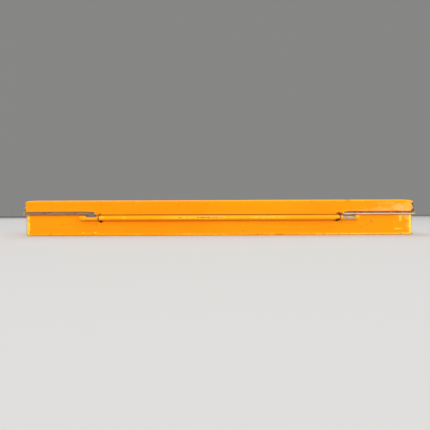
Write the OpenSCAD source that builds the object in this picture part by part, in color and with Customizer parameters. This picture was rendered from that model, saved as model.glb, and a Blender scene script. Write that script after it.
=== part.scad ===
// Long, flat tin case with a lid that is hinged on a wire along the back.
// Origin: middle of the underside. X runs along the case, the hinge is on the +Y side, +Z is up.

/* [Sheet] */
// Thickness of the tinplate
sheet_t = 0.3; // [0.25:0.05:0.4]
// Corner radius of the base, seen from above
corner_r = 2.2; // [2:0.2:6]
// Outside radius of the bends along the bottom and along the lid's top edge
bend_r = 0.9; // [0.6:0.1:1.4]

/* [Base] */
// Length over the base's walls
base_l = 200; // [170:1:240]
// Width over the base's walls
base_w = 62; // [50:1:90]
// Height of the base's rim
base_h = 17.8; // [17:0.1:22]
// Outside radius of the fold that hems the rim inwards
hem_r = 0.55; // [0.5:0.05:0.7]
// Length of the hem's leg, inside the wall
hem_leg = 2.5; // [1.5:0.5:4]

/* [Lid] */
// Height of the lid's outer face over the underside of the base
lid_top = 18.2; // [17.6:0.1:24]
// Gap between the lid's skirt and the base at the ends
side_gap = 0.4; // [0.3:0.1:0.6]
// Gap between the lid's skirt and the base at the back
back_gap = 0.4; // [0.3:0.1:0.6]
// Gap at the front, which the front skirt needs as it swings up past the rim
front_gap = 0.8; // [0.75:0.05:1.2]
// Outside radius of the bends of the flattened curl along the skirt's lower edge
curl_r = 0.68; // [0.55:0.01:0.8]
// Flat height between the curl's two bends
curl_leg = 0.38; // [0.2:0.02:0.6]

/* [Hinge] */
// Radius of the hinge wire
wire_r = 1; // [0.8:0.05:1.1]
// Length of the lid's knuckle
knuckle_l = 122; // [100:1:140]
// Length of each of the base's two lugs, with its domed end
lug_l = 10; // [8:0.2:14]
// Radius of the fillet round the foot of each lug
lug_fillet = 0.85; // [0.4:0.05:1]
// Gap between the knuckle and a lug
knuckle_gap = 0.7; // [0.6:0.1:2]
// Length of the lid's edge that is cut back at each end of the knuckle
relief_l = 2.5; // [2:0.5:5]

/* [Stiffening beads] */
// Distance from the outer wall to the bead in the base and in the lid's panel
bead_inset = 5; // [4:0.5:10]
// Width of the bead
bead_w = 2; // [1.5:0.5:4]
// Depth of the bead
bead_d = 0.35; // [0.2:0.05:0.6]

/* [Thumb notch] */
// Width of the notch pressed into the front wall
notch_w = 22; // [14:1:30]
// Depth of the notch
notch_d = 1; // [0.5:0.1:1.5]
// Lower end of the notch
notch_z = 4.5; // [3:0.5:6]
// Height of the notch
notch_h = 8; // [6:0.5:9]

/* [Hidden] */
$fn = 64;

orange = [0.99, 0.62, 0.01];
tinplate = [0.72, 0.68, 0.6];

run_gap = 0.06;              // radial clearance of the knuckle on the wire
grip_gap = 0.02;             // radial clearance of the lugs on the wire
wall_gap = 0.12;             // gap between the knuckle and the base's back wall
crease_r = 0.25;             // inside radius of the crease above the knuckle
slot_h = 1.4;                // height of the slot in each lug, which shows the wire
slot_inset = 1.2;            // distance from the lug's cut end to its slot
slot_l = 6.4;                // length of the slot
slit_w = 0.6;                // width of the slit in the wall, which frees each lug's open end
slit_up = 2.2;               // reach of the slit over the wire's axis
slit_down = 1.6;             // distance from the wire's axis down to the hole's centre
slit_hole_r = 0.9;           // radius of the hole at the slit's lower end
big = 400;                   // larger than the case, for masks

knuckle_r = wire_r + run_gap + sheet_t;
lug_r = wire_r + grip_gap + sheet_t;
axis_y = base_w / 2 + wall_gap + knuckle_r;
axis_z = lid_top / 2 + 0.05; // the open lid then lies flat, just over the table
knuckle_end = knuckle_l / 2;
relief_end = knuckle_end + relief_l;
lug_start = knuckle_end + knuckle_gap;
lug_end = lug_start + lug_l;

lid_l = base_l + 2 * (side_gap + sheet_t);
lid_w = base_w + back_gap + front_gap + 2 * sheet_t;
lid_y = (back_gap - front_gap) / 2;
lid_r = corner_r + side_gap + sheet_t;
lid_back = lid_y + lid_w / 2;
curl_z = axis_z + lug_r + curl_r + 0.16;
notch_r = (notch_w * notch_w / 4 + notch_d * notch_d) / (2 * notch_d);

// ---- flat shapes ----

// Rectangle with round corners, centred
module round_rect(l, w, r) {
    square([l - 2 * r, w], center = true);
    square([l, w - 2 * r], center = true);
    for (x = [-1, 1], y = [-1, 1])
        translate([x * (l / 2 - r), y * (w / 2 - r)]) circle(r);
}

// Frame between two round rectangles; inset is measured from the l by w outline
module round_frame(l, w, r, inset, width) {
    difference() {
        round_rect(l - 2 * inset, w - 2 * inset, max(r, width + 1));
        round_rect(l - 2 * (inset + width), w - 2 * (inset + width), max(r - width, 1));
    }
}

// Sheet bent round a centre: outer radius r, over the quarters named by their signs
module bend(r, quarters) {
    for (q = quarters)
        intersection() {
            difference() {
                circle(r);
                circle(r - sheet_t);
            }
            translate([q[0] > 0 ? 0 : -2 * r, q[1] > 0 ? 0 : -2 * r]) square(2 * r);
        }
}

// A profile's first coordinate is the distance outwards from the centre of the corner arc.

// Floor edge, wall and inward hem of the base
module base_profile() {
    square([corner_r - bend_r, sheet_t]);
    translate([corner_r - bend_r, bend_r]) bend(bend_r, [[1, -1]]);
    translate([corner_r - sheet_t, bend_r]) square([sheet_t, base_h - hem_r - bend_r]);
    translate([corner_r - hem_r, base_h - hem_r]) bend(hem_r, [[1, 1], [-1, 1]]);
    translate([corner_r - 2 * hem_r, base_h - hem_r - hem_leg]) square([sheet_t, hem_leg]);
}

// Panel edge, bend and skirt of the lid, down to the height z
module skirt_profile(z) {
    translate([0, lid_top - sheet_t]) square([lid_r - bend_r, sheet_t]);
    translate([lid_r - bend_r, lid_top - bend_r]) bend(bend_r, [[1, 1]]);
    translate([lid_r - sheet_t, z]) square([sheet_t, lid_top - bend_r - z]);
}

// The same, with the flattened outward curl along its edge
module curled_profile() {
    skirt_profile(curl_z);
    translate([lid_r - sheet_t + curl_r, curl_z]) {
        bend(curl_r, [[-1, -1], [1, -1]]);
        translate([curl_r - sheet_t, 0]) square([sheet_t, curl_leg]);
        translate([0, curl_leg]) bend(curl_r, [[1, 1]]);
        translate([sheet_t - curl_r + 0.05, curl_leg + curl_r - sheet_t])
            square([curl_r - sheet_t - 0.05, sheet_t]);
    }
}

// The lid's edge over the wire: the skirt creases outwards and wraps the wire, painted face out
module knuckle_profile() {
    crease_z = axis_z + knuckle_r + crease_r;
    axis_u = axis_y - lid_back + lid_r;
    skirt_profile(crease_z);
    translate([lid_r + crease_r, crease_z]) bend(crease_r + sheet_t, [[-1, -1]]);
    translate([lid_r + crease_r, axis_z + knuckle_r - sheet_t])
        square([axis_u - lid_r - crease_r, sheet_t]);
    translate([axis_u, axis_z]) bend(knuckle_r, [[1, 1], [1, -1], [-1, -1]]);
}

// ---- sweeps round a case of l by w with corner radius r ----

module corner_sweep(l, w, r) {
    for (c = [[1, 1, 0], [-1, 1, 90], [-1, -1, 180], [1, -1, 270]])
        translate([c[0] * (l / 2 - r), c[1] * (w / 2 - r), 0])
            rotate(c[2]) rotate_extrude(angle = 90) children();
}

// Along one side; turn is 0 for +X, 90 for +Y, 180 for -X and 270 for -Y
module side_sweep(run, out, turn, along = 0) {
    rotate(turn) translate([out, along, 0]) rotate([90, 0, 0])
        linear_extrude(run, center = true) children();
}

// ---- pieces ----

// Outline of a lug at radius r: barrel round the wire, open towards the wall, with a domed end
module lug_body(r, from_x) {
    reach = axis_y - base_w / 2 + sheet_t;
    dome_x = lug_end - lug_r;
    translate([from_x, axis_y, axis_z]) rotate([0, 90, 0]) cylinder(r = r, h = dome_x - from_x);
    translate([from_x, axis_y - reach, axis_z - r]) cube([dome_x - from_x, reach, 2 * r]);
    translate([dome_x, axis_y, axis_z]) sphere(r);
    translate([dome_x, axis_y, axis_z]) rotate([90, 0, 0]) cylinder(r = r, h = reach);
}

// Corner between a fillet's arc of radius r and its two tangents, at the lug's upper side
module fillet_corner(r) {
    difference() {
        translate([-r, -r]) square(r);
        circle(r);
    }
}

// Fillet corner of radius r carried round a lug, along both sides and round the dome
module lug_foot(r, from_x) {
    foot_y = base_w / 2 + lug_fillet;
    dome_x = lug_end - lug_r;
    offset_z = lug_r + lug_fillet;
    for (s = [-1, 1])
        translate([from_x, foot_y, axis_z + s * offset_z]) rotate([90, 0, 90])
            linear_extrude(dome_x - from_x) mirror([0, s < 0 ? 1 : 0]) fillet_corner(r);
    translate([dome_x, foot_y, axis_z]) rotate([-90, 0, 0]) rotate(-90)
        rotate_extrude(angle = 180) translate([offset_z, 0]) fillet_corner(r);
}

// Slot in a lug, over the upper half of the wire
module lug_slot() {
    from_x = lug_start + slot_inset;
    translate([from_x + slot_h / 2, axis_y, axis_z + slot_h / 4]) {
        translate([0, 0, -slot_h / 2]) cube([slot_l - slot_h, 3, slot_h]);
        for (x = [0, slot_l - slot_h])
            translate([x, 0, 0]) rotate([-90, 0, 0]) cylinder(d = slot_h, h = 3);
    }
}

// Slit through the wall at a lug's open end, with a round hole at its foot
module lug_slit() {
    translate([lug_start - slit_w, base_w / 2 - 0.5, axis_z - slit_down])
        cube([slit_w, 1, slit_up + slit_down]);
    translate([lug_start - slit_hole_r - 0.05, base_w / 2 + 0.5, axis_z - slit_down])
        rotate([90, 0, 0]) cylinder(r = slit_hole_r, h = 1);
}

// Notch for the thumb: the wall's sheet pushed inwards to an arc
module notch_arc(r) {
    translate([0, -base_w / 2 - notch_r + notch_d, 0]) cylinder(r = r, h = notch_h, $fn = 256);
}

module notch_sheet() {
    inner_y = -base_w / 2 + sheet_t;
    translate([0, 0, notch_z])
        difference() {
            intersection() {
                notch_arc(notch_r + sheet_t);
                translate([-notch_w, -base_w / 2, 0]) cube([2 * notch_w, 2 * notch_d, notch_h]);
            }
            translate([0, 0, sheet_t]) intersection() {
                notch_arc(notch_r);
                translate([-big / 2, -big, 0]) cube([big, big, notch_h - 2 * sheet_t]);
            }
        }
}

module base_shell() color(orange) {
    flat_l = base_l - 2 * corner_r;
    flat_w = base_w - 2 * corner_r;
    difference() {
        union() {
            corner_sweep(base_l, base_w, corner_r) base_profile();
            for (turn = [0, 180]) side_sweep(flat_w, flat_l / 2, turn) base_profile();
            for (turn = [90, 270]) side_sweep(flat_l, flat_w / 2, turn) base_profile();
            linear_extrude(sheet_t) square([flat_l, flat_w], center = true);
            linear_extrude(sheet_t + bead_d)
                round_frame(base_l, base_w, corner_r, bead_inset - sheet_t, bead_w + 2 * sheet_t);
            for (s = [0, 1]) mirror([s, 0, 0]) {
                lug_body(lug_r, lug_start);
                lug_foot(lug_fillet, lug_start);
            }
        }
        translate([0, 0, -1]) linear_extrude(1 + bead_d)
            round_frame(base_l, base_w, corner_r, bead_inset, bead_w);
        for (s = [0, 1]) mirror([s, 0, 0]) {
            lug_body(lug_r - sheet_t, lug_start - slit_w / 2);
            lug_foot(lug_fillet + sheet_t, lug_start - slit_w / 2);
            lug_slot();
            lug_slit();
        }
        translate([0, 0, notch_z]) intersection() {
            notch_arc(notch_r);
            translate([-big / 2, -base_w / 2 - 1, 0]) cube([big, 1 + sheet_t, notch_h]);
        }
    }
    notch_sheet();
}

module lid_shell() color(orange) {
    flat_l = lid_l - 2 * lid_r;
    flat_w = lid_w - 2 * lid_r;
    end_l = lid_l / 2 - lid_r - relief_end;
    difference() {
        union() {
            translate([0, lid_y, 0]) {
                corner_sweep(lid_l, lid_w, lid_r) curled_profile();
                for (turn = [0, 180]) side_sweep(flat_w, flat_l / 2, turn) curled_profile();
                side_sweep(flat_l, flat_w / 2, 270) curled_profile();
                for (s = [-1, 1])
                    side_sweep(end_l, flat_w / 2, 90, s * (relief_end + end_l / 2)) curled_profile();
                for (s = [-1, 1])
                    side_sweep(relief_l, flat_w / 2, 90, s * (relief_end - relief_l / 2))
                        skirt_profile(curl_z);
                side_sweep(knuckle_l, flat_w / 2, 90) knuckle_profile();
                translate([0, 0, lid_top - sheet_t]) linear_extrude(sheet_t)
                    square([flat_l, flat_w], center = true);
                translate([0, 0, lid_top - sheet_t - bead_d]) linear_extrude(sheet_t + bead_d)
                    round_frame(lid_l, lid_w, lid_r, bead_inset - sheet_t, bead_w + 2 * sheet_t);
            }
        }
        translate([0, lid_y, lid_top - bead_d]) linear_extrude(1 + bead_d)
            round_frame(lid_l, lid_w, lid_r, bead_inset, bead_w);
    }
}

module hinge_wire() color(tinplate) {
    wire_end = lug_end - lug_r - 0.4;
    translate([-wire_end, axis_y, axis_z]) rotate([0, 90, 0]) cylinder(r = wire_r, h = 2 * wire_end);
}

base_shell();
lid_shell();
hinge_wire();
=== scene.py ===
"""Flat tin case in orange enamel, with a lid hinged on a wire along its back.

The two pressed shells are built as real bent sheet: one painted face, which is then thickened,
so the inside of the case and the lid's outward curl show the bare tinplate. Lengths are in
millimetres until a mesh is made. X runs along the case, the hinge is on the +Y side and +Z is up,
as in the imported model.
"""

import math

import bmesh
import bpy
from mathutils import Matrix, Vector, noise


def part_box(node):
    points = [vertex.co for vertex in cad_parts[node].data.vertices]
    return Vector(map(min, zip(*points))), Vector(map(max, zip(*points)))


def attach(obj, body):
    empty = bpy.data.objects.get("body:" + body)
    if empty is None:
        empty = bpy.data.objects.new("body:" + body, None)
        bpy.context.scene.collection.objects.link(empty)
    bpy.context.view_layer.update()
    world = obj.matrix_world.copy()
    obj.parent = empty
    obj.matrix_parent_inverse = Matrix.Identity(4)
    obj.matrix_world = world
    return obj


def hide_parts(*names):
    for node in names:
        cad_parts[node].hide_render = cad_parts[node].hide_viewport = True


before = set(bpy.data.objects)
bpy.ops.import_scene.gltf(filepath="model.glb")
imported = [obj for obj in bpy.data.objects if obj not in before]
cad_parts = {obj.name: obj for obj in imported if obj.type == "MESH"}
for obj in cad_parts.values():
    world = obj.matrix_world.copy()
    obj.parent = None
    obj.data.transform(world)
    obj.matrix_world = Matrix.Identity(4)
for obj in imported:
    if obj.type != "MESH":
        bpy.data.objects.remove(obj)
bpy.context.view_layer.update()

MM = 0.001

# ---- sizes of the pressed sheet, in millimetres ----
SHEET = 0.3
BEND_R = 0.9                            # where a panel bends into a wall
BASE_L, BASE_W, BASE_H, CORNER_R = 200.0, 62.0, 17.8, 2.2
HEM_R, HEM_LEG = 0.55, 2.5
LID_L, LID_W, LID_Y, LID_TOP, LID_R = 201.4, 63.8, -0.2, 18.2, 2.9
CURL_R, CURL_Z, CURL_TOP_Z, SKIRT_Z = 0.46, 11.09, 11.90, 11.6
WIRE_R, AXIS_Y, AXIS_Z = 1.0, 32.48, 9.15
KNUCKLE_R, KNUCKLE_END, CREASE_R = 1.36, 61.0, 0.25
RELIEF_END = 63.5                       # the skirt is cut back from the knuckle's end to here
LUG_R, LUG_START, LUG_END, LUG_FILLET = 1.32, 61.7, 71.7, 0.85
LUG_PATCH_END = 75.5                    # the wall is drawn round the lug up to here
SLIT_W, SLIT_FOOT, SLIT_TOP = 0.6, 7.55, 11.35
BEAD_IN, BEAD_W, BEAD_D = 5.0, 2.0, 0.35
NOTCH_HALF, NOTCH_D, NOTCH_Z0, NOTCH_Z1 = 11.0, 1.0, 4.5, 12.5

FLAT_X = BASE_L / 2 - CORNER_R          # half the straight run, the same in both shells
BACK_Y = BASE_W / 2                     # outer face of the base's back wall
SKIRT_Y = LID_Y + LID_W / 2             # outer face of the lid's back skirt
DOME_X = LUG_END - LUG_R                # centre of the lugs' domed ends
NOTCH_R = (NOTCH_HALF ** 2 + NOTCH_D ** 2) / (2 * NOTCH_D)

CORNER_STEPS = 10                       # faces round each vertical corner
END_STEPS = 32                          # faces along each short side
NEAR = 0.01                             # tolerance where places are compared
WELD, SLIVER = 0.004, 0.002             # points this close are joined, edges this short dissolved
SHARP_ANGLE = 42.0                      # degrees
BARE_SLOT, LIT_CURL_SLOT = 1, 2             # places in a shell's list of materials, after the enamel


def smooth(a, b, x):
    """0 at a to 1 at b, level at both ends; a may be the larger."""
    t = min(max((x - a) / (b - a), 0.0), 1.0)
    return t * t * (3 - 2 * t)


def arc(cu, cz, r, start, end, steps):
    """Points on an arc, its first point left out."""
    angles = [math.radians(start + (end - start) * k / steps) for k in range(1, steps + 1)]
    return [(cu + r * math.cos(t), cz + r * math.sin(t)) for t in angles]


# ---- a sheet: one layer of faces, painted side out ----
class Sheet:
    def __init__(self):
        self.points, self.faces = [], []

    def point(self, x, y, z):
        self.points.append([x, y, z])
        return len(self.points) - 1

    def quad(self, a, b, c, d, flip=False):
        self.faces.append((a, d, c, b) if flip else (a, b, c, d))

    def strip(self, rows, flip, closed=False, keep=None):
        """Quads between rows of points; keep(i, j) can leave some out."""
        for j in range(len(rows) - 1):
            n = len(rows[j])
            for i in range(n if closed else n - 1):
                k = (i + 1) % n
                if keep is None or keep(i, j):
                    self.quad(rows[j][i], rows[j][k], rows[j + 1][k], rows[j + 1][i], flip)


def x_steps(stretches):
    """Places along the long sides, from +X to -X; stretches are (start, end, step) on one half."""
    half = set()
    for start, end, step in stretches:
        n = max(1, round((end - start) / step))
        half.update(round(start + (end - start) * k / n, 4) for k in range(n + 1))
    half = sorted(half)
    return half[::-1] + [-x for x in half if x > 0]


def ring_stations(xs):
    """Stations round the case, anticlockwise from above, as shares of the straight runs."""
    ys = [1 - 2 * k / END_STEPS for k in range(END_STEPS + 1)]
    inner = [90 * k / CORNER_STEPS for k in range(1, CORNER_STEPS)]
    out = [("x", x / FLAT_X, 1) for x in xs]
    out += [("c", -1, 1, 90 + t) for t in inner]
    out += [("y", y, -1) for y in ys]
    out += [("c", -1, -1, 180 + t) for t in inner]
    out += [("x", -x / FLAT_X, -1) for x in xs]
    out += [("c", 1, -1, 270 + t) for t in inner]
    out += [("y", -y, 1) for y in ys]
    out += [("c", 1, 1, t) for t in inner]
    return out


def ring_xy(stations, hx, hy, rho, square=False):
    """The ring's points for half sizes hx and hy and corner radius rho; square gives sharp corners."""
    out = []
    for s in stations:
        if s[0] == "x":
            out.append((s[1] * (hx - rho), s[2] * hy))
        elif s[0] == "y":
            out.append((s[2] * hx, s[1] * (hy - rho)))
        else:
            nx, ny = math.cos(math.radians(s[3])), math.sin(math.radians(s[3]))
            if square:
                m = max(abs(nx), abs(ny))
                nx, ny = nx / m, ny / m
            out.append((s[1] * (hx - rho) + rho * nx, s[2] * (hy - rho) + rho * ny))
    return out


def panel_rings(r, bead):
    """Rings from the middle of a panel to its bend: inset, corner radius, height, square."""
    flank = [(-0.125, 0), (0.0, 0.12), (0.125, 0.5), (0.25, 0.85), (0.4, 0.98)]
    shape = flank + [(1 - share, height) for share, height in reversed(flank)]
    centre_inset = 8.0                  # inset at which the bead's corners would have no radius
    rings = [(10.0, 3.0, 0.0, True), (8.4, 1.0, 0.0, False)]
    for share, height in reversed(shape):
        inset = BEAD_IN + BEAD_W * share
        rings.append((inset, centre_inset - inset, bead * height, False))
    outer, _, _, _ = rings[-1]
    for inset in (3.6, 2.4, 1.5):
        share = (outer - inset) / (outer - BEND_R)
        start_r = centre_inset - outer
        rings.append((inset, start_r - share * (start_r - r + BEND_R), 0.0, False))
    return rings + [(BEND_R, r - BEND_R, 0.0, False)]


def add_panel(sheet, stations, l, w, y0, z0, rings, up):
    """Inner grid and rings of a panel; gives the last ring."""
    rows = []
    for inset, rho, z, square in rings:
        ring = ring_xy(stations, l / 2 - inset, w / 2 - inset, rho, square)
        rows.append([sheet.point(x, y + y0, z0 + z) for x, y in ring])
    sheet.strip(rows, up, closed=True)
    n = len(stations)
    start = n - CORNER_STEPS // 2
    ring = [rows[0][(start + k) % n] for k in range(n)]
    nx = sum(1 for s in stations if s[0] == "x") // 2 - 1 + CORNER_STEPS
    ny = n // 2 - nx
    grid = [[None] * (nx + 1) for _ in range(ny + 1)]
    for c in range(nx + 1):
        grid[0][c] = ring[c]
        grid[ny][c] = ring[(2 * nx + ny - c) % n]
    for r in range(ny + 1):
        grid[r][nx] = ring[nx + r]
        grid[r][0] = ring[(n - r) % n]
    for r in range(1, ny):
        for c in range(1, nx):
            x, y = sheet.points[ring[c]][0], sheet.points[ring[nx + r]][1]
            grid[r][c] = sheet.point(x, y, z0 + rings[0][2])
    sheet.strip(grid, not up)
    return rows[-1]


def swept(sheet, stations, l, w, r, y0, profile):
    """Rows of points for a profile of (distance out of the corner's centre, height)."""
    rows = []
    for u, z in profile:
        ring = ring_xy(stations, l / 2 - r + u, w / 2 - r + u, u)
        rows.append([sheet.point(x, y + y0, z) for x, y in ring])
    return rows


def cut(sheet, inside, snap):
    """Takes out the faces whose middle is inside, and snaps the new edge onto the outline."""
    def middle(face):
        pts = [sheet.points[v] for v in face]
        return [sum(p[k] for p in pts) / len(pts) for k in range(3)]

    gone = [f for f in sheet.faces if inside(*middle(f))]
    left = [f for f in sheet.faces if not inside(*middle(f))]
    edge = {v for f in gone for v in f} & {v for f in left for v in f}
    sheet.faces = left
    for v in edge:
        sheet.points[v] = list(snap(*sheet.points[v]))


def to_piece(name, sheet, bend, materials):
    """Mesh piece from a sheet: bend(x, y, z) moves points, then the sheet is thickened inwards."""
    mesh = bpy.data.meshes.new(name)
    mesh.from_pydata([[c * MM for c in bend(*p)] for p in sheet.points], [], sheet.faces)
    bm = bmesh.new()
    bm.from_mesh(mesh)
    bmesh.ops.remove_doubles(bm, verts=bm.verts, dist=WELD * MM)
    bmesh.ops.dissolve_degenerate(bm, edges=bm.edges, dist=SLIVER * MM)
    loose = [v for v in bm.verts if not v.link_faces]
    bmesh.ops.delete(bm, geom=loose, context="VERTS")
    bm.to_mesh(mesh)
    bm.free()
    for material in materials:
        mesh.materials.append(material)
    obj = bpy.data.objects.new(name, mesh)
    bpy.context.scene.collection.objects.link(obj)
    solid = obj.modifiers.new("thickness", "SOLIDIFY")
    solid.thickness, solid.offset = SHEET * MM, -1.0
    solid.use_even_offset = True
    solid.material_offset = solid.material_offset_rim = BARE_SLOT
    bpy.context.view_layer.update()
    evaluated = obj.evaluated_get(bpy.context.evaluated_depsgraph_get())
    final = bpy.data.meshes.new_from_object(evaluated)
    obj.modifiers.clear()
    obj.data = final
    final.name = name
    final.shade_smooth()
    final.set_sharp_from_angle(angle=math.radians(SHARP_ANGLE))
    return obj


def keep_in_box(obj, node):
    """Clamps the piece to its CAD node's box, against the last hundredths of the bending."""
    lo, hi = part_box(node)
    for v in obj.data.vertices:
        v.co = [min(max(v.co[k], lo[k]), hi[k]) for k in range(3)]


def write_mask(obj, name, value):
    """Point attribute from value(x, y, z), in millimetres."""
    attribute = obj.data.attributes.new(name, "FLOAT", "POINT")
    values = [value(*(c / MM for c in v.co)) for v in obj.data.vertices]
    attribute.data.foreach_set("value", values)


def ripple(x, y, z, size, seed=0.0):
    """Smooth noise between about -1 and 1; size is the distance over which it changes."""
    return noise.noise(Vector((x / size + seed, y / size - seed, z / size + 2 * seed)))


def back_run(stations):
    """The stations along the back, and the place along X of each."""
    back = [i for i, s in enumerate(stations) if s[0] == "x" and s[2] == 1]
    return back, {i: stations[i][1] * FLAT_X for i in back}


# ---- lid ----
LID_X = [(0, 58, 2), (58, 60.5, 0.8), (60.5, 72, 0.5), (72, 96, 2), (96, FLAT_X, 0.45)]
LID_WALL_Z = [16.7, 16.0, 15.3, 14.6, 13.9, 13.3, 12.8, 12.4, 12.0, SKIRT_Z]
# At its ends the curl is pinched to a share of its size, and opens out over a length.
CURL_PINCH_RIGHT, CURL_PINCH_LEFT = (0.72, 0.9), (0.35, 2.1)
CURL_PINCH_Z = 10.8
CURL_LIFT = 0.17                        # how much higher the curl sits on the +X side
LID_SAG, LID_CORNER_DROP = 0.10, 0.42
WAVE_BIAS = 0.35                        # keeps most of a wave inside the sheet's true place
FLARE_TOP, FLARE_H = 15.8, 5.2
FOLD_X, FOLD_Z, FOLD_DEPTH = -65.4, 12.5, 0.16
LID_SIDE_Y, LID_SIDE_X = 29, 98         # past these a point is on the back, the front or an end


def build_lid():
    """Painted face of the lid: panel, skirt, outward curl, and the knuckle round the wire."""
    sheet = Sheet()
    stations = ring_stations(x_steps(LID_X))
    add_panel(sheet, stations, LID_L, LID_W, LID_Y, LID_TOP, panel_rings(LID_R, -BEAD_D), True)
    profile = [(LID_R - BEND_R, LID_TOP)]
    profile += arc(LID_R - BEND_R, LID_TOP - BEND_R, BEND_R, 90, 0, 8)
    profile += [(LID_R, z) for z in LID_WALL_Z]
    rows = swept(sheet, stations, LID_L, LID_W, LID_R, LID_Y, profile)
    sheet.strip(rows, True, closed=True)
    skirt_edge = rows[-1]
    add_curl(sheet, stations, skirt_edge)
    add_knuckle(sheet, stations, skirt_edge)
    add_relief(sheet, stations, skirt_edge)
    return sheet


def add_curl(sheet, stations, skirt_edge):
    """The flattened outward curl, pinched where it ends beside the hinge."""
    _, x_of = back_run(stations)
    n = len(stations)
    inner = CURL_R - SHEET
    curl_u = LID_R + inner
    curl = [(LID_R, CURL_Z)] + arc(curl_u, CURL_Z, inner, 180, 360, 10)
    curl += [(curl_u + inner, CURL_Z + (CURL_TOP_Z - CURL_Z) * share) for share in (0.2, 0.5, 1.0)]
    curl += arc(curl_u, CURL_TOP_Z, inner, 0, 90, 5) + [(LID_R + 0.05, CURL_TOP_Z + inner)]
    curl_rows = [skirt_edge]
    flat = ring_xy(stations, LID_L / 2, LID_W / 2, LID_R)
    for u, z in curl:
        row = []
        ring = ring_xy(stations, LID_L / 2 - LID_R + u, LID_W / 2 - LID_R + u, u)
        for i in range(n):
            full = 1.0
            if i in x_of:
                least, length = CURL_PINCH_LEFT if x_of[i] < 0 else CURL_PINCH_RIGHT
                full = least + (1 - least) * smooth(-0.1, length, abs(x_of[i]) - RELIEF_END)
            x = flat[i][0] + (ring[i][0] - flat[i][0]) * full
            y = flat[i][1] + (ring[i][1] - flat[i][1]) * full
            row.append(sheet.point(x, y + LID_Y, CURL_PINCH_Z + (z - CURL_PINCH_Z) * full))
        curl_rows.append(row)

    def on_curl(i, j):
        k = (i + 1) % n
        if i not in x_of or k not in x_of:
            return True
        return min(abs(x_of[i]), abs(x_of[k])) >= RELIEF_END - NEAR
    sheet.strip(curl_rows, True, closed=True, keep=on_curl)


def add_knuckle(sheet, stations, skirt_edge):
    """The knuckle: the skirt creases outwards and wraps the wire."""
    back, x_of = back_run(stations)
    crease_z = AXIS_Z + KNUCKLE_R + CREASE_R
    wrap = [(SKIRT_Y, SKIRT_Z + (crease_z - SKIRT_Z) * share) for share in (0.35, 0.7, 1.0)]
    wrap += arc(SKIRT_Y + CREASE_R, crease_z, CREASE_R, 180, 270, 5)
    wrap += [((SKIRT_Y + CREASE_R + AXIS_Y) / 2, AXIS_Z + KNUCKLE_R), (AXIS_Y, AXIS_Z + KNUCKLE_R)]
    wrap += arc(AXIS_Y, AXIS_Z, KNUCKLE_R, 90, -180, 26)
    middle = [i for i in back if abs(x_of[i]) <= KNUCKLE_END + NEAR]
    rows = [[skirt_edge[i] for i in middle]]
    for y, z in wrap:
        rows.append([sheet.point(x_of[i], y, z) for i in middle])
    sheet.strip(rows, True)


def add_relief(sheet, stations, skirt_edge):
    """The skirt's cut-back edge between knuckle and curl: a step at +X, a slope at -X."""
    back, x_of = back_run(stations)
    for side in (1, -1):
        part = [i for i in back if KNUCKLE_END - NEAR <= side * x_of[i] <= RELIEF_END + NEAR]
        rows = [[skirt_edge[i] for i in part]]
        for share in (0.5, 1.0):
            row = []
            for i in part:
                past = abs(x_of[i])
                if side > 0:
                    slope = smooth(KNUCKLE_END + 0.1, KNUCKLE_END + 0.9, past)
                else:
                    slope = (past - KNUCKLE_END) / (RELIEF_END - KNUCKLE_END)
                row.append(sheet.point(x_of[i], SKIRT_Y, SKIRT_Z - share * (0.2 + 0.72 * slope)))
            rows.append(row)
        sheet.strip(rows, True)


def bend_lid(x, y, z):
    """Waves and small dents of a used tin; nothing moves near the hinge."""
    out_x, out_y = abs(x) / (LID_L / 2), abs(y - LID_Y) / (LID_W / 2)
    hinge = smooth(AXIS_Z + 1.3, AXIS_Z + 3.4, z) if y > LID_SIDE_Y else 1.0
    on_top = smooth(17.0, 18.1, z)
    corner = smooth(0.93, 1.0, out_x) * smooth(0.75, 1.0, out_y)
    sag = LID_SAG + 0.10 * ripple(x, y, 0, 46, 1.7) + 0.05 * ripple(x, y, 0, 15, 4.1)
    z -= on_top * (max(sag, 0) * (1 - smooth(0.9, 1.0, max(out_x, out_y)))
                   + 0.10 * max(ripple(x, y, 0, 33, 8.2), 0) + LID_CORNER_DROP * corner)
    wave = 0.10 * (ripple(x, 0, z, 38, 2.3) - WAVE_BIAS)
    wave += 0.05 * ripple(x, 0, z, 9, 6.3) * smooth(12.5, 14.0, z)
    if y > LID_SIDE_Y:
        y += wave * hinge * (1 - on_top)
    elif y < -LID_SIDE_Y:
        y -= wave * (1 - on_top)
    if abs(x) > LID_SIDE_X:
        x += math.copysign(0.10 * (ripple(y, 5, z, 30, 3.1) - WAVE_BIAS), x) * (1 - on_top)
        lean = 0.34 * smooth(17.2, 18.2, z) + 0.16 * smooth(12.5, 17.2, z)
        x -= math.copysign(lean, x) * smooth(LID_SIDE_X, 100, abs(x))

    # The skirt flares a little towards the curl.
    flare = min(max((FLARE_TOP - z) / FLARE_H, 0.0), 1.0) ** 2
    if y > LID_SIDE_Y:
        y += 0.36 * flare * smooth(61.5, 66.0, abs(x))
    elif y < -LID_SIDE_Y:
        y -= 0.12 * flare
    if abs(x) > LID_SIDE_X:
        spread = 0.08 * flare + 0.26 * smooth(17.5, 12.5, z)
        x += math.copysign(spread, x) * smooth(LID_SIDE_X, LID_L / 2, abs(x))
    if y > 31:
        z += CURL_LIFT * smooth(64.0, 69.0, x) * (1 - smooth(12.4, 13.6, z))
    if y > LID_SIDE_Y:
        # A fold line in the skirt, up from the curl's end on the -X side.
        along = (x - FOLD_X) * -0.9 + (z - FOLD_Z) * 0.43
        off = (x - FOLD_X) * 0.43 + (z - FOLD_Z) * 0.9
        fold = smooth(-0.4, 0.5, along) * (1 - smooth(4.0, 5.6, along))
        y -= FOLD_DEPTH * fold * (smooth(-1.3, 0.0, off) - smooth(0.0, 0.35, off)) * hinge
    return x, y, z


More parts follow.
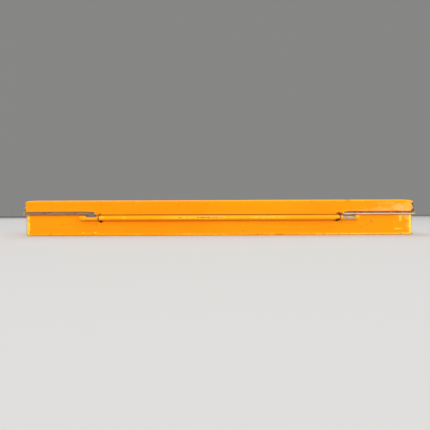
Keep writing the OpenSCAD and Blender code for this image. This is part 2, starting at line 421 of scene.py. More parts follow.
# ---- base ----
BASE_X = [(0, 58, 2), (58, 59.6, 0.8), (59.6, LUG_START - SLIT_W, 0.3),
          (LUG_START - SLIT_W, LUG_START, 0.3), (LUG_START, LUG_PATCH_END, 0.3),
          (LUG_PATCH_END, 96, 2), (96, FLAT_X, 0.45)]
LUG_FOOT_Z, LUG_HEAD_Z = 5.6, 12.6
WALL_Z = [BEND_R, 1.6, 2.6, 3.5, 4.1, 4.35, 4.6, 4.85, 5.2, LUG_FOOT_Z, 6.1, 6.5, 6.85, 7.2,
          SLIT_FOOT, 7.95, 8.35, 8.75, AXIS_Z, 9.6, 10.05, 10.5, 10.95, SLIT_TOP, 11.7, 12.05, 12.3,
          LUG_HEAD_Z, 12.9, 13.4, 14.2, 14.75, 16.0, BASE_H - HEM_R]
# Slots in the lugs (centre x, centre z, half length, half height, power of the outline), and
# holes in the wall (centre x, centre z, half length, half height). The two ends are worn apart.
SLOTS = [(65.0, 10.15, 2.8, 1.1, 2.2), (-65.95, 9.48, 3.2, 1.14, 4.0)]
HOLES = [(60.75, 7.55, 0.8, 0.85), (-60.4, 8.1, 1.25, 0.95)]
BASE_SIDE_Y, BASE_SIDE_X = 30.9, 99.9   # past these a point is on the back, the front or an end


def lug_patch(sheet, stations, rows, side, low, high):
    """Pressed-out lug, in place of the wall's faces between rows low and high."""
    back, x_of = back_run(stations)
    cols = [i for i in back if LUG_START - NEAR <= side * x_of[i] <= LUG_PATCH_END + NEAR]
    cols.sort(key=lambda i: side * x_of[i])
    rim = [rows[high][i] for i in cols]
    rim += [rows[j][cols[-1]] for j in range(high - 1, low, -1)]
    rim += [rows[low][i] for i in reversed(cols)]
    # The lug's section: (distance from the lug's own line, distance out from the wire's axis).
    profile = [(0.0, LUG_R)] + arc(0.0, 0.0, LUG_R, 90, 0, 9)
    wall = BACK_Y - AXIS_Y
    profile += [(LUG_R, (wall + LUG_FILLET) * share) for share in (0.5, 1.0)]
    profile += arc(LUG_R + LUG_FILLET, wall + LUG_FILLET, LUG_FILLET, 180, 270, 5)
    lines = []
    for v in rim:
        x, _, z = sheet.points[v]
        foot = min(side * x, DOME_X) * side
        reach = math.hypot(x - foot, z - AXIS_Z)
        dx, dz = (x - foot) / reach, (z - AXIS_Z) / reach
        line = [sheet.point(foot + dx * r, AXIS_Y + y, AXIS_Z + dz * r) for r, y in profile]
        r_end, _ = profile[-1]
        for share in (0.35, 0.7):
            r = r_end + (reach - r_end) * share
            line.append(sheet.point(foot + dx * r, BACK_Y, AXIS_Z + dz * r))
        lines.append(line + [v])
    sheet.strip(lines, side < 0)


def slot_edge(cx, cz, rx, rz, power):
    """Inside test and snapping for the slot in a lug, a rounded shape in the X-Z plane."""
    def reach(x, z):
        return (abs((x - cx) / rx) ** power + abs((z - cz) / rz) ** power) ** (1 / power)

    def inside(x, y, z):
        return y > AXIS_Y and reach(x, z) < 1 and abs(x) > LUG_START

    def snap(x, y, z):
        k = 1 / reach(x, z)
        x, z = cx + (x - cx) * k, cz + (z - cz) * k
        return x, AXIS_Y + math.sqrt(max(LUG_R ** 2 - (z - AXIS_Z) ** 2, 0.01)), z
    return inside, snap


def hole_edge(cx, cz, rx, rz):
    """Inside test and snapping for a hole in the back wall."""
    def reach(x, z):
        return math.hypot((x - cx) / rx, (z - cz) / rz)

    def inside(x, y, z):
        return abs(y - BACK_Y) < NEAR and reach(x, z) < 1

    def snap(x, y, z):
        k = 1 / reach(x, z)
        return cx + (x - cx) * k, y, cz + (z - cz) * k
    return inside, snap


def build_base():
    """Painted face of the base: floor, walls, hemmed rim, and the two lugs with their slots."""
    sheet = Sheet()
    stations = ring_stations(x_steps(BASE_X))
    add_panel(sheet, stations, BASE_L, BASE_W, 0.0, 0.0, panel_rings(CORNER_R, BEAD_D), False)
    profile = [(CORNER_R - BEND_R, 0.0)]
    profile += arc(CORNER_R - BEND_R, BEND_R, BEND_R, -90, 0, 8)[:-1]
    first_wall = len(profile)
    profile += [(CORNER_R, z) for z in WALL_Z]
    profile += arc(CORNER_R - HEM_R, BASE_H - HEM_R, HEM_R, 0, 180, 10)
    profile += [(CORNER_R - 2 * HEM_R, BASE_H - HEM_R - HEM_LEG * k / 3) for k in (1, 2, 3)]
    rows = swept(sheet, stations, BASE_L, BASE_W, CORNER_R, 0.0, profile)
    n = len(stations)
    _, x_of = back_run(stations)

    def row_at(z):
        return first_wall + WALL_Z.index(z)

    def solid(i, j):
        k = (i + 1) % n
        if i not in x_of or k not in x_of:
            return True
        x = abs(x_of[i] + x_of[k]) / 2
        in_lug = LUG_START < x < LUG_PATCH_END and row_at(LUG_FOOT_Z) <= j < row_at(LUG_HEAD_Z)
        in_slit = LUG_START - SLIT_W < x < LUG_START and row_at(SLIT_FOOT) <= j < row_at(SLIT_TOP)
        return not (in_lug or in_slit)
    sheet.strip(rows, False, closed=True, keep=solid)
    for side in (1, -1):
        lug_patch(sheet, stations, rows, side, row_at(LUG_FOOT_Z), row_at(LUG_HEAD_Z))
    for slot in SLOTS:
        cut(sheet, *slot_edge(*slot))
    for hole in HOLES:
        cut(sheet, *hole_edge(*hole))
    return sheet


def notch_depth(x, z):
    """How far the thumb notch dips into the front wall: an arc, faded out above and below."""
    if abs(x) >= NOTCH_HALF:
        return 0.0
    depth = max(math.sqrt(NOTCH_R ** 2 - x * x) - (NOTCH_R - NOTCH_D), 0)
    foot = smooth(NOTCH_Z0 - 0.35, NOTCH_Z0 + 0.45, z)
    head = smooth(NOTCH_Z1 - 0.45, NOTCH_Z1 + 0.35, z)
    return depth * foot * (1 - head)


def bend_base(x, y, z):
    """Waves of a used tin, the thumb notch, and a floor that is a little hollow."""
    if z < 0.6 and abs(x) < 99 and abs(y) < 30:
        inner = 1 - smooth(0.85, 0.97, max(abs(x) / (BASE_L / 2), abs(y) / (BASE_W / 2)))
        z += inner * (0.06 + 0.05 * ripple(x, y, 0, 40, 5.5))
    wall = smooth(0.8, 2.5, z) * (1 - smooth(15.5, 17.2, z))
    wave = min(0.07 * (ripple(x, 0, z, 42, 1.1) - 0.6) + 0.03 * ripple(x, 0, z, 8, 7.7), 0)
    if y > BASE_SIDE_Y:
        hinge = smooth(0, 6, max(abs(z - AXIS_Z) - 2.2, 0)) if abs(x) < 78 else 1.0
        y += wave * wall * hinge
    elif y < -BASE_SIDE_Y:
        y += notch_depth(x, z) - wave * wall
    if abs(x) > BASE_SIDE_X:
        x -= math.copysign(0.05 * (1 + ripple(y, 9, z, 25, 2.9)), x) * wall
    return x, y, z


# ---- wire ----
WIRE_END = [(0.0, 0.55), (0.05, 0.8), (0.22, 0.96), (0.5, 1.0)]     # (distance in, share of radius)
WIRE_ROUND, WIRE_RUNS, WIRE_SHARP_ANGLE = 40, 90, 50.0


def build_wire(material):
    """Drawn wire with nipped ends, a little uneven."""
    lo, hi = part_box("hinge_wire")
    half = (hi.x - lo.x) / 2 / MM
    run_in = WIRE_END[-1][0]
    stops = [(-half + inset, share) for inset, share in WIRE_END]
    stops += [(-half + run_in + (2 * half - 2 * run_in) * k / WIRE_RUNS, 1.0)
              for k in range(1, WIRE_RUNS)]
    stops += [(half - inset, share) for inset, share in reversed(WIRE_END)]
    points, faces = [], []
    for x, share in stops:
        for k in range(WIRE_ROUND):
            turn = 2 * math.pi * k / WIRE_ROUND
            uneven = 0.006 * (1 + ripple(x, 3 * math.cos(turn), 3 * math.sin(turn), 5))
            r = WIRE_R * share * (1 - uneven)
            point = (x, AXIS_Y + r * math.cos(turn), AXIS_Z + r * math.sin(turn))
            points.append([c * MM for c in point])
    for j in range(len(stops) - 1):
        row, after = j * WIRE_ROUND, (j + 1) * WIRE_ROUND
        for k in range(WIRE_ROUND):
            m = (k + 1) % WIRE_ROUND
            faces.append((row + k, row + m, after + m, after + k))
    last = (len(stops) - 1) * WIRE_ROUND
    faces.append(tuple(reversed(range(WIRE_ROUND))))
    faces.append(tuple(last + k for k in range(WIRE_ROUND)))
    mesh = bpy.data.meshes.new("wire")
    mesh.from_pydata(points, [], faces)
    bm = bmesh.new()
    bm.from_mesh(mesh)
    bmesh.ops.recalc_face_normals(bm, faces=bm.faces)
    bm.to_mesh(mesh)
    bm.free()
    mesh.materials.append(material)
    mesh.shade_smooth()
    mesh.set_sharp_from_angle(angle=math.radians(WIRE_SHARP_ANGLE))
    obj = bpy.data.objects.new("wire", mesh)
    bpy.context.scene.collection.objects.link(obj)
    return obj


# ---- materials ----
BUMP_STRENGTH = 0.3
MARK_REACH = 8                          # how far in front of and behind the back's face a mark goes


class Shader:
    """A few short calls for building a node tree."""

    def __init__(self, name):
        self.material = bpy.data.materials.new(name)
        self.material.use_nodes = True
        self.tree = self.material.node_tree
        self.tree.nodes.clear()
        self.bsdf = self.add("ShaderNodeBsdfPrincipled")
        output = self.add("ShaderNodeOutputMaterial")
        self.tree.links.new(self.bsdf.outputs[0], output.inputs["Surface"])
        self.coords = self.add("ShaderNodeTexCoord").outputs["Object"]

    def add(self, kind, **values):
        node = self.tree.nodes.new(kind)
        for key, value in values.items():
            setattr(node, key, value)
        return node

    def put(self, socket, value):
        if isinstance(value, bpy.types.NodeSocket):
            self.tree.links.new(value, socket)
        else:
            socket.default_value = value

    def math(self, operation, a, b=0.0, c=0.0):
        node = self.add("ShaderNodeMath", operation=operation)
        for socket, value in zip(node.inputs, (a, b, c)):
            self.put(socket, value)
        return node.outputs[0]

    def mix(self, share, a, b):
        node = self.add("ShaderNodeMix", data_type="RGBA")
        self.put(node.inputs["Factor"], share)
        self.put(node.inputs["A"], a if isinstance(a, bpy.types.NodeSocket) else (*a, 1.0))
        self.put(node.inputs["B"], b if isinstance(b, bpy.types.NodeSocket) else (*b, 1.0))
        return node.outputs["Result"]

    def stretched(self, scale, turn=(0.0, 0.0, 0.0)):
        node = self.add("ShaderNodeMapping")
        self.put(node.inputs["Vector"], self.coords)
        node.inputs["Scale"].default_value = scale
        node.inputs["Rotation"].default_value = turn
        return node.outputs[0]

    def noise(self, scale, detail=3.0, roughness=0.55, distortion=0.0, vector=None):
        node = self.add("ShaderNodeTexNoise")
        self.put(node.inputs["Vector"], vector or self.coords)
        values = {"Scale": scale, "Detail": detail, "Roughness": roughness, "Distortion": distortion}
        for key, value in values.items():
            node.inputs[key].default_value = value
        return node.outputs["Fac"]

    def cells(self, scale):
        node = self.add("ShaderNodeTexVoronoi")
        self.put(node.inputs["Vector"], self.coords)
        node.inputs["Scale"].default_value = scale
        return node.outputs["Distance"], node.outputs["Color"]

    def step(self, value, start, end):
        """0 below start to 1 above end."""
        node = self.add("ShaderNodeMapRange", interpolation_type="SMOOTHSTEP")
        self.put(node.inputs["Value"], value)
        self.put(node.inputs["From Min"], start)
        self.put(node.inputs["From Max"], end)
        return node.outputs["Result"]

    def warped(self, scale, amount):
        """The coordinates pushed about by a noise, for ragged outlines."""
        node = self.add("ShaderNodeTexNoise")
        self.put(node.inputs["Vector"], self.coords)
        node.inputs["Scale"].default_value = scale
        push = self.add("ShaderNodeVectorMath", operation="MULTIPLY_ADD")
        self.put(push.inputs[0], node.outputs["Color"])
        push.inputs[1].default_value = (amount,) * 3
        back = self.add("ShaderNodeVectorMath", operation="ADD")
        self.put(back.inputs[0], self.coords)
        back.inputs[1].default_value = (-amount / 2,) * 3
        self.put(push.inputs[2], back.outputs[0])
        return push.outputs[0]

    def marks(self, places, vector):
        """Soft ellipses on the back, each (x, z, half length, half height, depth) in millimetres."""
        total = None
        for x, z, rx, rz, depth in places:
            radii = (rx * MM, MARK_REACH * MM, rz * MM)
            centre = (x * MM, BACK_Y * MM, z * MM)
            place = self.add("ShaderNodeMapping")
            self.put(place.inputs["Vector"], vector)
            place.inputs["Scale"].default_value = [1 / r for r in radii]
            place.inputs["Location"].default_value = [-c / r for c, r in zip(centre, radii)]
            ball = self.add("ShaderNodeTexGradient", gradient_type="SPHERICAL")
            self.put(ball.inputs[0], place.outputs[0])
            mark = self.math("MULTIPLY", self.step(ball.outputs["Fac"], 0.0, 0.6), depth)
            total = mark if total is None else self.math("MAXIMUM", total, mark)
        return total

    def attribute(self, name):
        return self.add("ShaderNodeAttribute", attribute_name=name).outputs["Fac"]

    def bump(self, height, distance):
        node = self.add("ShaderNodeBump")
        node.inputs["Strength"].default_value = BUMP_STRENGTH
        node.inputs["Distance"].default_value = distance
        self.put(node.inputs["Height"], height)
        return node.outputs[0]

    def set(self, **values):
        """Links or sets the shader's sockets, with _ for the space in a socket's name."""
        for key, value in values.items():
            self.put(self.bsdf.inputs[key.replace("_", " ")], value)


ORANGE = (0.930, 0.280, 0.0003)
ORANGE_DEEP = (0.920, 0.256, 0.0003)
# Lighter edge colour, also used as a painted highlight along bends and on the lugs.
ORANGE_EDGE = (0.930, 0.370, 0.0015)
THIN_LID = (0.90, 0.53, 0.03)
THIN_BASE = (0.90, 0.66, 0.10)
PAINTED_SHEEN = (0.950, 0.500, 0.150)
BARE_SPECK = (0.55, 0.47, 0.34)
BARE_DARK = (0.13, 0.085, 0.045)
# Chip colour, also used for smudges that are painted shade near the hinge.
CHIP_AND_SHADE = (0.20, 0.07, 0.015)
# Dark colour for dirt, and for painted shade in creases and round the hinge.
GRIME_AND_SHADE = (0.055, 0.018, 0.006)
# Tinplate stain, also painted shade and a painted darker reflection on the curls and the wire.
STAIN_AND_SHADE = (0.22, 0.10, 0.030)
RUST = (0.10, 0.045, 0.02)
ENAMEL_SPECULAR = 0.12
# Bare tinplate: tone, darker tone, shine, and tilt of the drawn grain.
# The curl's tone is a lighter copy of the tinplate, a painted reflection.
TIN_CURL_LIT = ((0.95, 0.73, 0.52), (0.84, 0.62, 0.42), 0.55, 0.01)
TIN_INSIDE = ((0.64, 0.54, 0.41), (0.46, 0.35, 0.23), 0.85, 0.02)
TIN_WIRE = ((0.66, 0.55, 0.40), (0.48, 0.38, 0.26), 0.80, 0.03)

# Marks on the back, of use and of painted shade, highlight and sheen: (x, z, half length, half height,
# depth).
# Smudges, with painted shade round the knuckles' ends, the notches and the holes near x +-61.
BASE_SMUDGES_AND_SHADE = [
    (-61.6, 10.7, 1.8, 1.0, 1.0), (-60.4, 7.9, 1.2, 0.9, 0.8),
    (-64.8, 6.9, 2.3, 0.35, 0.55), (-63.4, 6.7, 0.7, 0.45, 0.6), (-78.2, 7.1, 1.5, 1.0, 0.42),
    (-75.6, 5.4, 1.1, 0.8, 0.42), (-73.1, 4.5, 1.3, 0.6, 0.32), (-75.9, 3.2, 1.0, 0.7, 0.22),
    (79.6, 5.9, 4.5, 0.4, 0.30), (76.9, 6.3, 1.6, 0.4, 0.36), (64.4, 6.0, 1.6, 0.45, 0.45),
    (63.1, 6.0, 0.6, 0.55, 0.9), (61.8, 7.2, 0.5, 1.1, 0.55), (86.6, 0.7, 0.8, 0.5, 0.5),
    (64.7, 0.8, 0.7, 0.5, 0.55), (-12.0, 2.3, 0.6, 0.5, 0.7), (-14.0, 2.3, 0.6, 0.5, 0.7),
    (-32.8, 6.2, 0.6, 0.5, 0.6), (21.5, 4.0, 2.2, 0.35, 0.35), (16.0, 4.0, 2.2, 0.35, 0.35),
    (47.1, 2.8, 0.9, 0.6, 0.35), (-19.8, 0.7, 0.7, 0.6, 0.7), (-21.6, 0.8, 0.6, 0.5, 0.7),
    (-31.0, 0.5, 2.8, 0.5, 0.5), (2.5, 1.8, 0.6, 0.5, 0.5), (-40.5, 5.2, 1.4, 0.5, 0.3)]
BASE_SCRATCHES = [
    (-58.0, 4.1, 3.0, 0.18, 0.6), (-55.6, 4.6, 1.3, 0.14, 0.35), (60.2, 4.4, 0.18, 5.0, 0.35)]
# Rubbed-through paint, and painted highlights: the glints on dents near x -92, the pale arc on the -X
# lug's domed end, and a lightening of the shade under that lug.
BASE_RUBS_AND_HIGHLIGHTS = [
    (69.9, 1.5, 0.8, 0.6, 1.1), (63.6, 1.5, 0.9, 0.7, 1.2), (71.2, 7.9, 0.6, 0.9, 1.0),
    (68.8, 8.4, 1.2, 0.5, 1.0), (-93.1, 8.6, 0.9, 2.4, 1.05), (-91.9, 3.3, 3.2, 0.55, 1.0),
    (-84.0, 0.9, 5.5, 0.6, 0.7), (-95.5, 0.9, 5.0, 0.6, 0.8), (78.5, 5.0, 0.8, 0.5, 0.5),
    (-71.3, 9.7, 0.7, 1.1, 0.97), (-70.6, 8.2, 1.1, 0.8, 0.97),
    (-67.5, 7.2, 4.5, 0.7, 0.55), (-64.6, 7.1, 1.9, 0.35, 0.95),
    (-62.3, 9.4, 0.8, 0.9, 0.85), (-63.6, 10.2, 0.7, 0.5, 1.0), (99.0, 0.8, 0.9, 0.7, 1.3),
    (-99.2, 0.8, 0.9, 0.7, 1.3)]
LID_SMUDGES_AND_SHADE = [
    (-61.4, 11.1, 2.0, 1.1, 1.0), (61.0, 11.2, 0.5, 0.6, 0.9), (74.5, 15.2, 0.9, 0.6, 0.40),
    (53.8, 13.4, 1.1, 0.7, 0.40), (-65.9, 17.6, 1.6, 0.8, 0.45),
    (43.7, 17.6, 0.8, 0.5, 0.4), (21.1, 15.5, 0.6, 0.5, 0.5), (6.4, 15.8, 0.7, 0.5, 0.4),
    (-14.9, 14.5, 0.6, 0.5, 0.55), (-47.2, 16.9, 0.9, 0.6, 0.45), (86.0, 14.0, 1.0, 0.5, 0.25)]
LID_SCRATCHES = [(60.4, 15.0, 0.18, 5.5, 0.35)]
# Rubs on the lid, with a painted sheen near x -96.
LID_RUBS_AND_HIGHLIGHTS = [(-73.6, 17.7, 1.6, 0.5, 0.9), (-96.0, 16.4, 3.0, 1.2, 0.5), (90.0, 17.8, 4.0, 0.4, 0.6)]
# Painted sheen: paler patches at the -X end of the lid and base, standing in for reflected light.
LID_SHEEN_PATCHES = [
    (-92.5, 14.4, 5.5, 2.6, 0.58), (-97.0, 13.0, 2.6, 2.2, 0.56), (-84.0, 13.2, 7.0, 1.9, 0.32),
    (-86.0, 16.2, 7.5, 1.3, 0.18), (-74.0, 12.7, 6.5, 0.9, 0.20), (-97.8, 15.8, 3.4, 2.2, 0.45)]
BASE_SHEEN_PATCHES = [
    (-93.3, 9.8, 2.8, 1.2, 0.50), (-97.2, 9.2, 2.6, 2.8, 0.66), (-97.6, 4.6, 1.6, 3.0, 0.30)]


def enamel(name, turn, thin_paint, smudges_and_shade, scratches, rubs_and_highlights, sheen_patches):
    """Glossy stoving enamel over tinplate, thin at the edges, chipped and rubbed, with painted shade,
    highlights and sheen.
    """
    s = Shader(name)
    broad = s.noise(30.0, 2.0, vector=s.stretched((1, 1, 1), (turn, 0.1, 0.7)))
    fine = s.noise(900.0, 2.0)
    streaks = s.noise(1.0, 3.0, 0.6, vector=s.stretched((60, 1500, 1500), (0.02, 0.015, 0.01)))
    ragged = s.noise(1100.0, 4.0, 0.7)
    coarse = s.noise(230.0, 3.0, 0.6)
    warped = s.warped(1300.0, 0.0011)
    colour = s.mix(s.step(broad, 0.35, 0.75), ORANGE, ORANGE_DEEP)
    colour = s.mix(s.math("MULTIPLY", s.step(streaks, 0.5, 0.8), 0.3), colour, ORANGE_DEEP)

    # Painted sheen: paler, duller patches at the -X end in place of the light reflected there.
    patchy = s.math("MULTIPLY_ADD", s.step(ragged, 0.38, 0.62), 0.45, 0.65)
    sheen = s.math("MULTIPLY", s.marks(sheen_patches, s.warped(420.0, 0.0050)), patchy)
    colour = s.mix(sheen, colour, PAINTED_SHEEN)

    # A lighter edge colour over the bends, partly worn paint and partly a painted highlight; thin,
    # yellow paint and bare sheet where it's rubbed through.
    rubbed_and_lit = s.math("MAXIMUM", s.attribute("rubbed_and_lit"), s.math("MULTIPLY", s.marks(rubs_and_highlights, warped), 0.62))
    grain = s.math("ADD", s.math("MULTIPLY", ragged, 0.6), s.math("MULTIPLY", coarse, 0.4))
    dashes = s.noise(1.0, 2.0, vector=s.stretched((600, 2400, 2400)))
    grain = s.math("ADD", s.math("MULTIPLY", grain, 0.6), s.math("MULTIPLY", dashes, 0.4))
    level = s.math("ADD", rubbed_and_lit, s.math("MULTIPLY_ADD", grain, 1.3, -0.65))
    colour = s.mix(s.math("MULTIPLY", s.step(level, 0.08, 0.3), 0.8), colour, ORANGE_EDGE)
    thin = s.step(level, 0.50, 0.58)
    colour = s.mix(thin, colour, s.mix(s.step(fine, 0.4, 0.7), thin_paint, ORANGE_EDGE))
    bare = s.step(level, 0.69, 0.76)
    speck_tone = s.mix(s.step(fine, 0.46, 0.58), BARE_DARK, BARE_SPECK)
    colour = s.mix(bare, colour, speck_tone)

    # Small dark chips, sparse over the faces and denser near the edges.
    distance, tint = s.cells(420.0)
    pick = s.add("ShaderNodeSeparateColor")
    s.put(pick.inputs[0], tint)
    sparse = s.math("MULTIPLY", s.step(pick.outputs[0], 0.9, 1.0), 0.2)
    size = s.math("MULTIPLY_ADD", rubbed_and_lit, 0.25, sparse)
    chip = s.math("MULTIPLY", s.step(s.math("SUBTRACT", size, distance), -0.02, 0.06),
                  s.step(pick.outputs[1], 0.35, 0.5))
    colour = s.mix(s.math("MULTIPLY", chip, 0.7), colour, CHIP_AND_SHADE)

    # Smudges, some of them painted shade by the hinge's gaps and holes, scratches, and painted shade in
    # creases and round the hinge, with dirt at the lid's corners.
    smudge_and_shade = s.math("MULTIPLY", s.marks(smudges_and_shade, warped), s.step(ragged, 0.25, 0.6))
    scratch = s.marks(scratches, s.warped(300.0, 0.0003))
    colour = s.mix(s.math("MAXIMUM", smudge_and_shade, scratch), colour, CHIP_AND_SHADE)
    grime_and_shade = s.math("ADD", s.attribute("grime_and_shade"), s.math("MULTIPLY_ADD", ragged, 0.5, -0.25))
    dirt_and_shade = s.step(grime_and_shade, 0.2, 0.9)
    colour = s.mix(s.math("MULTIPLY", dirt_and_shade, 0.95), colour, GRIME_AND_SHADE)

    rough = s.math("MULTIPLY_ADD", s.noise(130.0, 3.0), 0.08, 0.14)
    rough = s.math("ADD", rough, s.math("MULTIPLY", s.step(streaks, 0.55, 0.8), 0.10))
    worn = s.math("MAXIMUM", s.math("MAXIMUM", bare, dirt_and_shade), s.math("MAXIMUM", smudge_and_shade, scratch))
    rough = s.math("ADD", rough, s.math("MULTIPLY", worn, 0.42))
    rough = s.math("ADD", rough, s.math("MULTIPLY", sheen, 0.10))
    height = s.math("ADD", s.math("MULTIPLY", s.noise(620.0, 2.0), 0.35),
                    s.math("MULTIPLY", s.noise(140.0, 2.0), 0.9))
    height = s.math("SUBTRACT", height, s.math("MULTIPLY", s.math("MAXIMUM", thin, chip), 0.5))
    height = s.math("SUBTRACT", height, s.math("MULTIPLY", scratch, 0.6))
    s.set(Base_Color=colour, Roughness=rough, Metallic=s.math("MULTIPLY", bare, 0.3),
          Normal=s.bump(height, 0.06 * MM))
    s.bsdf.inputs["Specular IOR Level"].default_value = ENAMEL_SPECULAR
    return s.material


def tinplate(name, tone, dark, shine, turn):
    """Bare tinplate: drawn along its length, dulled, with brown spots; turn tilts the grain."""
    s = Shader(name)
    drawn = s.noise(1.0, 4.0, 0.65, vector=s.stretched((90, 2600, 2600), (0.0, turn, 0.01)))
    cloud = s.noise(70.0, 4.0, 0.6, 0.3)
    spots = s.noise(650.0, 4.0, 0.7)
    colour = s.mix(s.step(cloud, 0.35, 0.7), tone, dark)
    colour = s.mix(s.math("MULTIPLY", s.step(drawn, 0.4, 0.75), 0.45), colour, dark)
    # The attribute read here darkens the tinplate: painted shade on the -X curl's top, the wire's upper
    # side and the slits, a painted darker reflection on the +X curl, and dirt at the lid's corners.
    stain_and_shade = s.attribute("grime_and_shade")
    colour = s.mix(s.math("MULTIPLY", stain_and_shade, 0.95), colour, STAIN_AND_SHADE)
    rust = s.step(s.math("ADD", spots, s.math("MULTIPLY", stain_and_shade, 0.2)), 0.68, 0.86)
    colour = s.mix(s.math("MULTIPLY", rust, 0.9), colour, RUST)
    rough = s.math("MULTIPLY_ADD", drawn, 0.22, 0.26)
    rough = s.math("ADD", rough, s.math("MULTIPLY", s.math("MAXIMUM", rust, stain_and_shade), 0.25))
    dull = s.math("MAXIMUM", rust, s.math("MULTIPLY", stain_and_shade, 0.7))
    metal = s.math("SUBTRACT", shine, s.math("MULTIPLY", dull, 0.7))
    height = s.math("ADD", drawn, s.math("MULTIPLY", spots, 0.4))
    s.set(Base_Color=colour, Roughness=rough, Metallic=metal, Normal=s.bump(height, 0.04 * MM))
    return s.material


# ---- where each piece is rubbed and dirty, and where shade and highlights are painted, from 0 to about 1 ----
KNUCKLE_WORN = [(4, 11, 1.0), (22, 10, 0.72), (-24, 13, 0.72), (48.5, 1.5, 0.7), (59, 2, 0.6)]


def band(value, centre, half, soft):
    """1 within half of the centre, fading to 0 over soft."""
    return 1 - smooth(half, half + soft, abs(value - centre))


def bell(value, centre, width):
    return math.exp(-((value - centre) / width) ** 2)


def lid_rubbed_and_lit(x, y, z):
    """A painted highlight along the top edges, worn end corners, and the knuckle's crest: worn in
    places, and lighter all along as a painted highlight.
    """
    out_x, out_y = abs(x), abs(y - LID_Y)
    # Painted highlight along the top edges.
    top_edge = smooth(17.0, 17.9, z) * smooth(0, 1.2, max(out_x - 98.9, out_y - 30.1) + 0.6)
    corner = smooth(98.6, 99.2, out_x) * smooth(27.2, 29.5, out_y) * smooth(17.6, 16.4, z)
    ragged = 0.12 * ripple(x, 0, z, 3.0, 2.0) * smooth(20, 50, x)
    value = max((0.36 + ragged) * top_edge, 0.84 * corner)
    # The knuckle's crest: worn in places, and lighter all along as a painted highlight.
    if y > 31.9 and z < AXIS_Z + 1.5:
        angle = math.degrees(math.atan2(z - AXIS_Z, y - AXIS_Y))
        worn = sum(depth * bell(x, centre, width) for centre, width, depth in KNUCKLE_WORN)
        value = max(value, bell(angle, 8, 34) * (0.40 + 0.42 * min(worn, 1)))
    return value


def lid_grime_and_shade(x, y, z):
    """Painted shade in the crease over the knuckle, at the knuckle's ends and on the -X curl's top, a
    painted darker reflection on the +X curl, and dirt at the end corners.
    """
    value = 0.0
    # Painted shade: a dark line in the crease over the knuckle.
    if y > 31.2 and abs(x) < KNUCKLE_END + 0.5:
        value = 0.85 * bell(z, 10.72, 0.30) * smooth(32.5, 32.1, y)
    # Painted shade at the knuckle's ends, in the gaps beside the lugs.
    if y > 31 and z < 12 and KNUCKLE_END - 1 < abs(x) < RELIEF_END + 1:
        value = max(value, 0.42 * band(abs(x), 62.2, 0.8, 1.0))
    if y > 31:
        # Painted shade under the knuckle's end on the -X side, over the hole in the base.
        value = max(value, 0.95 * band(x, -60.2, 0.8, 0.7) * smooth(8.9, 8.3, z))
    if y > 32.12 and abs(x) > RELIEF_END:
        # Painted shade on the -X curl's top; the +X curl is darkened all over, a painted darker
        # reflection.
        if x < 0:
            value = max(value, 0.1 + 1.15 * smooth(11.12, 11.40, z))
        else:
            value = max(value, 0.95 + 0.15 * smooth(11.5, 11.9, z))
    if x < 0:
        dark = 0.25 + 0.9 * bell(z, 15.6, 0.9) + 0.95 * bell(z, 12.6, 0.6)
    else:
        dark = 0.2 + 0.8 * bell(z, 12.1, 0.5)
    corner = smooth(98.1, 98.8, abs(x)) * smooth(25.0, 27.0, y) * smooth(18.1, 17.4, z)
    spots = smooth(-0.30, 0.10, ripple(x, y, z, 1.3))
    return max(value, corner * spots * dark)


def base_rubbed_and_lit(x, y, z):
    """Worn vertical corners and rim; a painted highlight along the foot, with real wear towards -X, and
    on the crowns and domed ends of the lugs.
    """
    edge = 0.35 * ripple(0, 5, z, 0.9) + 0.3 * ripple(3, 0, z, 3.0)
    corner = smooth(96.9, 97.7, abs(x) + edge) * smooth(27.6, 28.6, abs(y) + edge)
    crest = smooth(98.6, 99.3, abs(x)) * smooth(28.4, 29.6, abs(y))
    past_wall = max(abs(x) - BASE_L / 2, abs(y) - BASE_W / 2)
    # Painted highlight along the foot's bend, with real wear towards -X.
    foot = (1 - smooth(0.65, 1.25, z)) * smooth(-BEND_R, 0.0, past_wall)
    foot *= 0.46 + 0.10 * bell(x, 5, 20) + 0.20 * smooth(-30, -70, x)
    rim = smooth(17.2, 17.7, z)
    value = max(0.63 * corner, 0.80 * crest, foot, 0.30 * rim)
    # Painted highlight on the lugs' crowns and domed ends.
    if y > 31.5:
        crown = 0.30 * smooth(32.9, 33.7, y)
        dome = 0.46 * bell(abs(x), 71.9, 0.8) * smooth(31.4, 32.4, y)
        value = max(value, crown, dome)
    return value


def base_painted_shade(x, y, z):
    """Painted shade beside the slits, and under and over the lugs."""
    if y < 30:
        return 0.0
    beside = 0.4 * bell(abs(x), 61.8, 0.8) * bell(z, 9.2, 2.4)
    under = 0.30 * bell(z, 7.35, 0.35) * band(abs(x), 67.0, 4.6, 0.8) * smooth(31.0, 31.3, y)
    over = 0.95 * bell(z, 10.75, 0.5) * max(band(x, -66.6, 3.5, 0.6), 0.8 * band(x, 65.0, 2.4, 0.5))
    return max(beside, under, over)


def wire_painted_shade(x, y, z):
    """Painted shade on the wire's upper side in the slots, and in the slits."""
    value = 0.05 + 0.75 * smooth(9.2, 9.65, z + 0.25 * ripple(x, 0, 0, 1.5))
    return max(value, 0.95 * band(abs(x), 61.3, 0.5, 0.2))


# ---- the pieces ----
lit_curl_tinplate = tinplate("bare_tinplate_curl_lit", *TIN_CURL_LIT)
bare_inside = tinplate("bare_tinplate_inside", *TIN_INSIDE)
bare_wire = tinplate("bare_wire", *TIN_WIRE)
enamel_lid = enamel("enamel_lid", 0.3, THIN_LID, LID_SMUDGES_AND_SHADE, LID_SCRATCHES, LID_RUBS_AND_HIGHLIGHTS, LID_SHEEN_PATCHES)
enamel_base = enamel("enamel_base", 0.6, THIN_BASE, BASE_SMUDGES_AND_SHADE, BASE_SCRATCHES, BASE_RUBS_AND_HIGHLIGHTS,
                     BASE_SHEEN_PATCHES)


